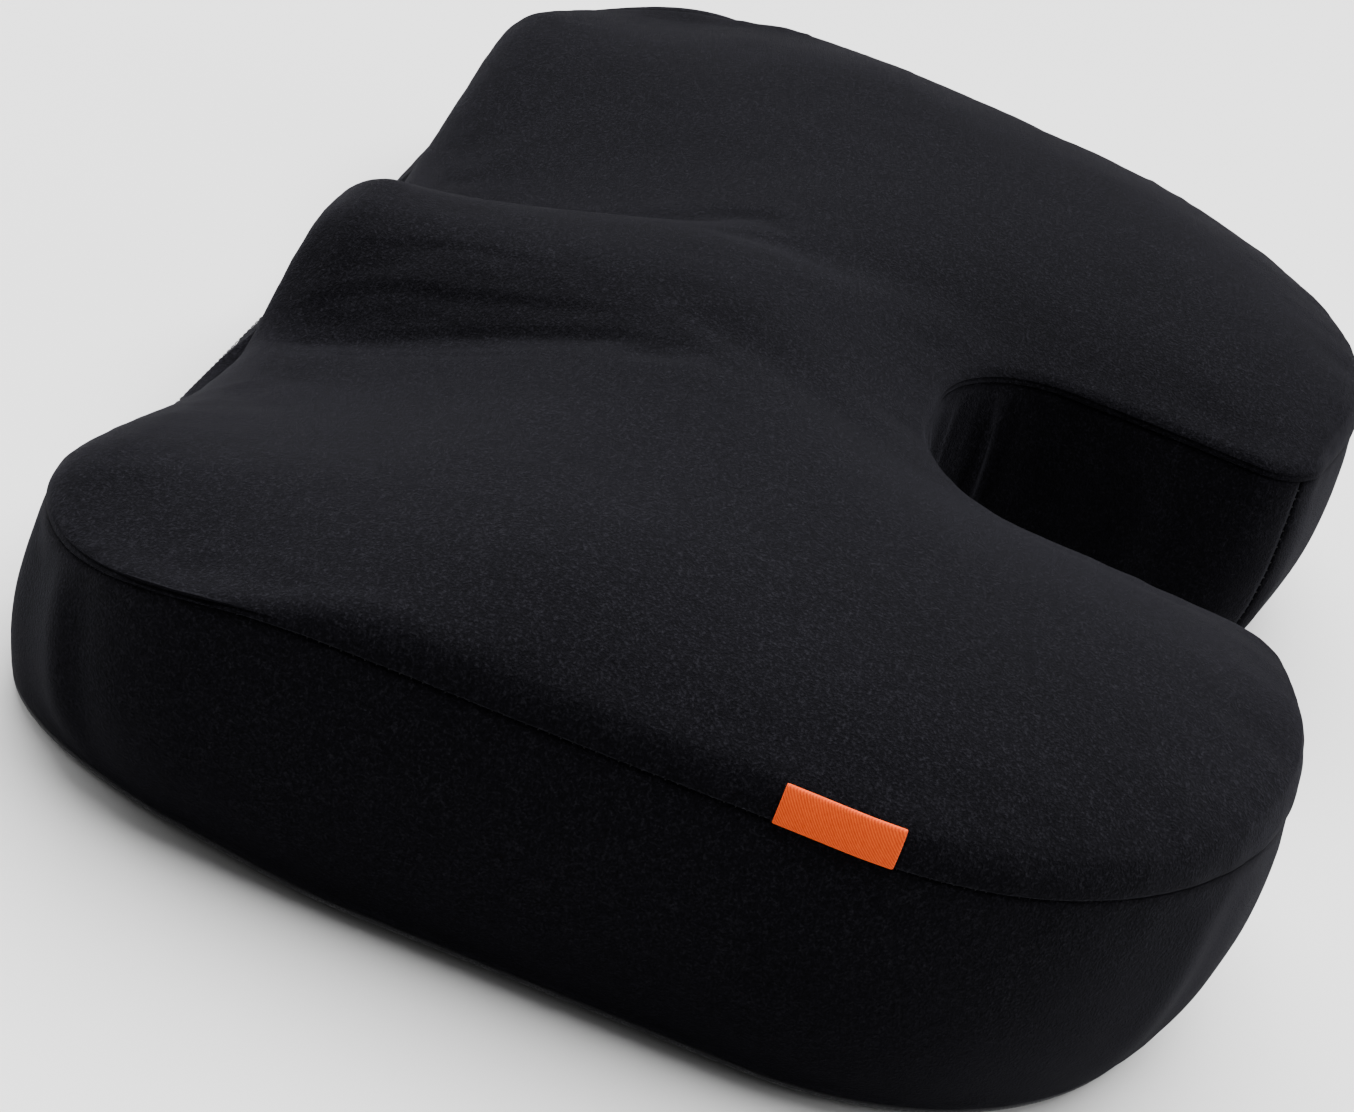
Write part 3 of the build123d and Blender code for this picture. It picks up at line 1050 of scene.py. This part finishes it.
def panel_ladder(column):
    """Stitches across the groove of an upright panel seam."""
    parts = []
    side = np.r_[along_outline(column), 0] * STITCH_HALF
    normal = np.r_[wall_normals[column], 0]
    for z in np.arange(BOTTOM_SEAM + 1.5 * MM, seam_z[column] - 1 * MM, STITCH):
        base = np.r_[seam_line[column], z] + normal * (band_offset(column, z) - PANEL_DEPTH)
        parts.append(stitch(base + side, base - side, normal * STITCH_RISE))
    return merged(parts)


def zip_row(z):
    """A row of lock stitches that holds the zip tape to a band."""
    parts = []
    x = -front_panel_half + ZIP_MARGIN
    while x < front_panel_half - ZIP_MARGIN:
        near = int(np.argmin(np.abs(seam_x - x) + (seam_y > FRONT_Y)))
        y = seam_y[near] - band_offset(near, z) + 0.2 * MM
        parts.append(stitch((x, y, z), (x + ZIP_STITCH, y, z), (0, -0.25 * MM, 0)))
        x += ZIP_STITCH_PITCH
    return merged(parts)


for node, parts in (
    ("top_seam_thread", [seam_ladder(seam_z, np.zeros(count))]),
    ("bottom_seam_thread", [seam_ladder(np.full(count, BOTTOM_SEAM), foot_offset)]),
    ("panel_seam_threads", [panel_ladder(i) for i in panel_ends()]),
    ("zip_seam_threads", [zip_row(zip_high + ZIP_MARGIN), zip_row(zip_low - ZIP_MARGIN)]),
):
    piece = new_object(node.split("_thread")[0] + "_stitches", *merged(parts))
    dress(piece, THREAD, node)


# ---- zip coils
COIL_PITCH = 1.4 * MM
COIL_WIRE = 0.27 * MM
COIL_STEPS = 10
CORD_SHARE = 0.8  # radius of the cord inside a coil, against the coil's half width


def make_coil(node, phase):
    """A flattened spiral of stiff filament, as long and thick as the coil's bar."""
    low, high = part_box(node)
    centre = (low + high) / 2
    half_y = (high.y - low.y) / 2 - COIL_WIRE
    half_z = (high.z - low.z) / 2 - COIL_WIRE
    last = int((high.x - low.x) / COIL_PITCH) * COIL_STEPS
    path = []
    for k in range(last + 1):
        angle = 2 * pi * k / COIL_STEPS + phase
        x = low.x + (high.x - low.x) * k / last
        path.append((x, centre.y + half_y * cos(angle), centre.z + half_z * sin(angle)))
    ends = [(low.x, centre.y, centre.z), (high.x, centre.y, centre.z)]
    shape = merged([tube(path, COIL_WIRE, 5), tube(ends, half_y * CORD_SHARE)])
    piece = new_object(node + "_spiral", *shape)
    dress(piece, COIL, node)


make_coil("zip_coil_upper", 0.0)
make_coil("zip_coil_lower", pi)


# ---- grip dots
DOT_PITCH = 9 * MM
DOT_RADIUS = 1.5 * MM
DOT_MARGIN = 13 * MM  # inside the foot of the bands
DOT_SIDES = 10
DOT_ANGLES = [radians(a) for a in (0, 35, 65)]
DOT_FLOOR_ANGLE = 1.35  # a dot would meet the floor at this angle, in radians


def grip_dot(x, y):
    """A low dome that hangs under the bottom panel."""
    base = FLOOR_GAP + 0.1 * MM
    vertices = []
    for angle in DOT_ANGLES:
        radius = DOT_RADIUS * cos(angle)
        z = max(base - base * sin(angle) / sin(DOT_FLOOR_ANGLE), 0)
        for k in range(DOT_SIDES):
            turn = 2 * pi * k / DOT_SIDES
            vertices.append((x + radius * cos(turn), y + radius * sin(turn), z))
    return vertices, [face[::-1] for face in closed_strip(len(DOT_ANGLES), DOT_SIDES)]


def make_grip_dots():
    """Rows of moulded dots that the cushion stands on."""
    low, high = seam_line.min(0) + DOT_MARGIN, seam_line.max(0)
    centres = staggered(low, high, lambda y: DOT_PITCH)
    distance, nearest, inside = distances_to_seam(centres)
    kept = centres[(distance + foot_offset[nearest] > DOT_MARGIN) & inside]
    piece = new_object("grip_dots_rubber", *merged([grip_dot(x, y) for x, y in kept]))
    dress(piece, DOTS)


make_grip_dots()


# ---- woven label
LABEL_HEIGHT = 9.3 * MM
LABEL_COLUMNS = 29
RIGHT_X = 150 * MM  # outline points with a larger x belong to the right side
RIBBON = 0.32 * MM
PROFILE_FOLD = 14.5  # the profile has its fold at this distance, and is scaled to LABEL_HEIGHT
PROFILE_STEPS = 13
RIM_LENGTH = 30 * MM  # of the seat's rim that the label may lie on
RIM_STEPS = 90


def ribbon_profile():
    """The folded ribbon from end to end: distance up the seat from the seam, and lift in mm."""
    path = [(-2.4, 0.15), (-0.4, 0.35)]
    outer = np.linspace(1.2, PROFILE_FOLD, PROFILE_STEPS)
    path += [(a, 1.15 + 0.9 * (a / PROFILE_FOLD) ** 2) for a in outer]
    path += [(15.1, 1.85), (15.35, 1.35), (15.1, 0.9)]
    inner = np.linspace(14.3, 1.2, PROFILE_STEPS)
    path += [(a, 0.5 + 0.25 * (a / PROFILE_FOLD) ** 2) for a in inner]
    return path + [(-0.4, 0.0), (-2.4, -0.25)]


def rim_profile(at):
    """Inward distances and heights of the rolled rim at an outline index, from the seam."""
    i = int(round(at)) % count
    inward = np.linspace(0, 1, RIM_STEPS) ** 2 * RIM_LENGTH
    flat = seam_line[i] - wall_normals[i] * inward[:, None]
    return inward, rolled_height(flat, inward, i, crown_at(inward, i))


def make_label():
    """A ribbon folded double, its ends caught in the top seam and its fold on the seat."""
    middle_y = (label_low.y + label_high.y) / 2
    half = (label_high.y - label_low.y) / 2
    centre = int(np.argmin(np.abs(seam_y - middle_y) + (seam_x < RIGHT_X)))
    path = ribbon_profile()
    vertices = []
    for u in np.linspace(-1, 1, LABEL_COLUMNS):
        at = (centre + u * half * count / perimeter) % count
        inward, z = rim_profile(at)
        lengths = np.r_[0, np.cumsum(np.hypot(np.diff(inward), np.diff(z)))]
        base, normal = on_outline(seam_line, at), on_outline(wall_normals, at)
        curl = 0.35 * u ** 2 + 0.3 * sin(2.2 * u + 0.6)
        for a, lift in path:
            share = max(a, 0) / PROFILE_FOLD
            places = share * LABEL_HEIGHT + np.array((0, 0.5 * MM))
            ins, heights = np.interp(places, lengths, inward), np.interp(places, lengths, z)
            run = Vector((ins[1] - ins[0], heights[1] - heights[0])).normalized()
            raised = (lift + curl * share) * MM
            depth = ins[0] - run.y * raised + max(-a, 0) * MM * 0.9
            vertices.append((*(base - normal * depth), heights[0] + run.x * raised))
    faces = strip_faces(LABEL_COLUMNS, len(path), False)
    piece = new_object("woven_label_ribbon", vertices, faces)
    solidify(piece, RIBBON, 0.0)
    smooth = piece.modifiers.new("smooth_fold", "SUBSURF")
    smooth.levels = smooth.render_levels = 1
    dress(piece, LABEL, "woven_label", "label")


make_label()

for node in ("tape_upper", "tape_lower", "top_stops", "bottom_stop", "slider", "pull_tab"):
    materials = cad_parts["zip_" + node].data.materials
    materials.clear()
    materials.append(ZIP_TAPE if "tape" in node else ENAMEL)


# ---- floor, light and camera
FLOOR_REACH = 40.0
SUN_POWER = 15.5
SUN_ANGLE = 75  # degrees, for soft shadows
SUN_PLACE = (-0.75, 0.05, 2.0)
WORLD_POWER = 0.24
AREA_AIM = (0, 0, 0.05)
AREA_LIGHTS = (  # name, watts, place, width and height
    ("front_left", 50, (-0.3, -2.0, 0.9), 1.4, 0.9),
    ("back_right", 40, (-0.2, 2.0, 0.8), 1.4, 0.8),
)

# The camera stands off the cushion's right side, a little behind its middle, looking down.
CAMERA_TURN = 4.85  # degrees from +X towards +Y
CAMERA_RISE = 30.7
CAMERA_ROLL = 20.68
CAMERA_DISTANCE = 885.1 * MM
CAMERA_TARGET = (0.0, -18.6 * MM, -0.6 * MM)
CAMERA_LENS = 80.1  # millimetres on a 36 mm wide sensor


def make_floor():
    square = ((-1, -1), (1, -1), (1, 1), (-1, 1))
    corners = [(x * FLOOR_REACH, y * FLOOR_REACH, 0) for x, y in square]
    floor = new_object("floor", corners, [(0, 1, 2, 3)], smooth=False)
    n = Nodes("floor_paint")
    paint = n.ramp(n.noise(3.0), (0.3, 0.47), (0.7, 0.49))
    floor.data.materials.append(n.finish(paint, 0.9))


def add_light(kind, name, power, place, target, **settings):
    data = bpy.data.lights.new(name, kind)
    data.energy = power
    for key, value in settings.items():
        setattr(data, key, value)
    light = placed(name, data)
    light.location = place
    aim = Vector(target) - Vector(place)
    light.rotation_euler = aim.to_track_quat("-Z", "Y").to_euler()


def make_lights():
    angle = radians(SUN_ANGLE)
    add_light("SUN", "overhead", SUN_POWER, SUN_PLACE, (0, 0, 0), angle=angle)
    for name, watts, place, width, height in AREA_LIGHTS:
        size = {"shape": "RECTANGLE", "size": width, "size_y": height}
        add_light("AREA", name, watts, place, AREA_AIM, **size)
    world = bpy.data.worlds.new("studio")
    world.use_nodes = True
    background = world.node_tree.nodes["Background"]
    background.inputs["Color"].default_value = (1, 1, 1, 1)
    background.inputs["Strength"].default_value = WORLD_POWER
    bpy.context.scene.world = world


def make_camera():
    turn, rise = radians(CAMERA_TURN), radians(CAMERA_RISE)
    level = cos(rise)
    back = Vector((level * cos(turn), level * sin(turn), sin(rise)))
    right = Vector((0, 0, 1)).cross(back).normalized()
    upright = Matrix((right, back.cross(right), back)).transposed()
    rolled = upright @ Matrix.Rotation(radians(CAMERA_ROLL), 3, "Z")
    place = Vector(CAMERA_TARGET) + back * CAMERA_DISTANCE
    data = bpy.data.cameras.new("camera")
    data.lens = CAMERA_LENS
    data.sensor_width = 36.0
    data.clip_start = 0.05
    data.clip_end = 50.0
    camera = placed("camera", data)
    camera.matrix_world = Matrix.Translation(place) @ rolled.to_4x4()
    bpy.context.scene.camera = camera


make_floor()
make_lights()
make_camera()
